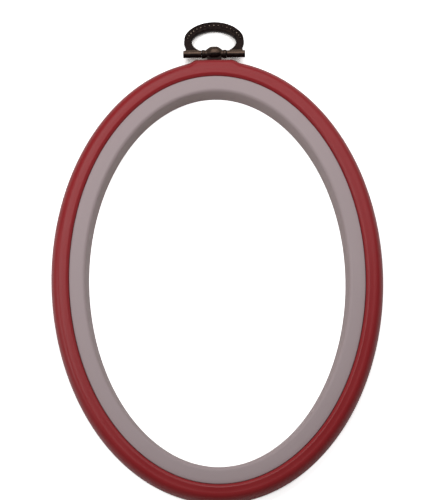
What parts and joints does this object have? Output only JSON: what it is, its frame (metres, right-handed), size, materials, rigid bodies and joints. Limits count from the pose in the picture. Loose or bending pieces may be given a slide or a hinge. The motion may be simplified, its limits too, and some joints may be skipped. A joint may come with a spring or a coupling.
{
  "type": "embroidery hoop",
  "caption": "Oval screwless embroidery hoop: a rigid inner hoop gripped by a flexible outer hoop, with a swinging cast hanger at the top.",
  "frame": {"origin": "under the middle of the whole part's box, on the surface that the hoop lies on", "axes": "+Z out of the front of the hoop, +Y along the long axis of the oval towards the hanger, +X to the right seen from the front"},
  "size_m": [0.144, 0.2136, 0.0115],
  "materials": {
    "inner_plastic": "satin moulded pale grey plastic",
    "outer_vinyl": "satin flexible rose-red vinyl",
    "old_brass": "antiqued dark brass, rubbed bright on its edges",
    "pin_metal": "antiqued pin"
  },
  "bodies": {
    "inner": {"inner_hoop": "inner_plastic"},
    "outer": {"outer_hoop": "outer_vinyl", "hanger_base": "old_brass"},
    "hanging_loop": {"bail": "old_brass", "hinge_pin": "pin_metal"}
  },
  "joints": [
    {"name": "outer_hoop_lift", "type": "slide", "parent": "inner", "child": "outer", "axis": [0, 0, 1], "range_m": [0, 0.014]},
    {"name": "bail_hinge", "type": "hinge", "parent": "outer", "child": "hanging_loop", "pos_m": [0, 0.09139, 0.0055], "axis": [1, 0, 0], "range_deg": [-103, 137]}
  ]
}
